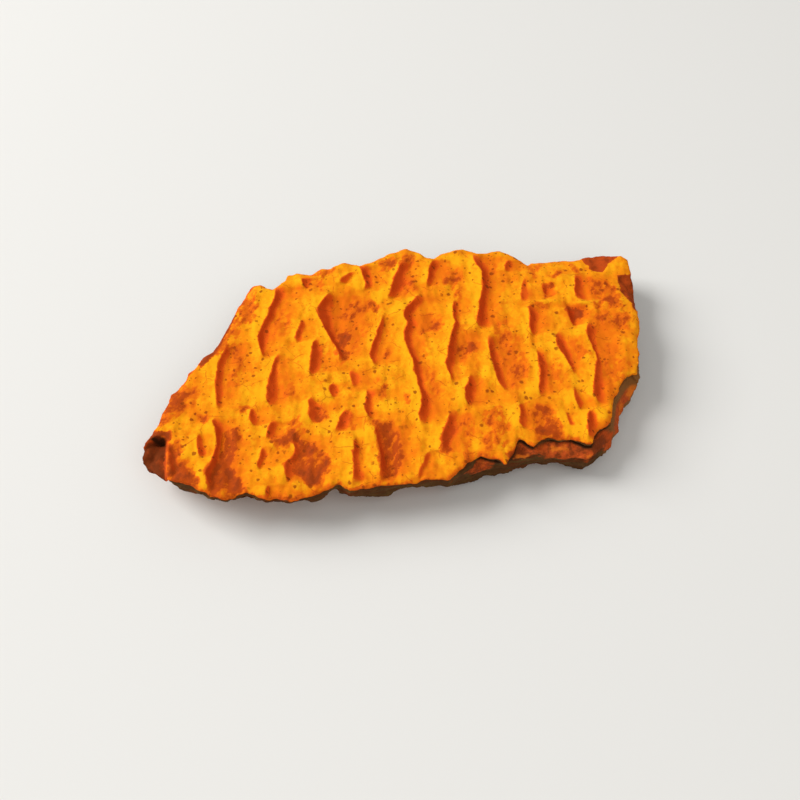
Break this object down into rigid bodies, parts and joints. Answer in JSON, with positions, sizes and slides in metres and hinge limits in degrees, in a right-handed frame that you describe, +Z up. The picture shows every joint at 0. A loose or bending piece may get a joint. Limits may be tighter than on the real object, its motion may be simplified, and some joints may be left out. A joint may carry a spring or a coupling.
{
  "type": "limonite specimen",
  "caption": "Loose natural slab of orange-yellow limonite with a rippled top and a broken stepped front edge, a mineral sample that lies flat for display.",
  "frame": {"origin": "on the resting plane, under the middle of the slab's bounding box", "axes": "+X along the slab's length towards its squarer end, +Y away from the stepped front edge, +Z up out of the rippled top"},
  "size_m": [0.0786, 0.047, 0.0073],
  "materials": {
    "limonite": "dull earthy ochre with orange-red troughs, bright yellow crests and dark brown broken edges"
  },
  "bodies": {
    "root": {"limonite_slab": "limonite"}
  },
  "joints": []
}
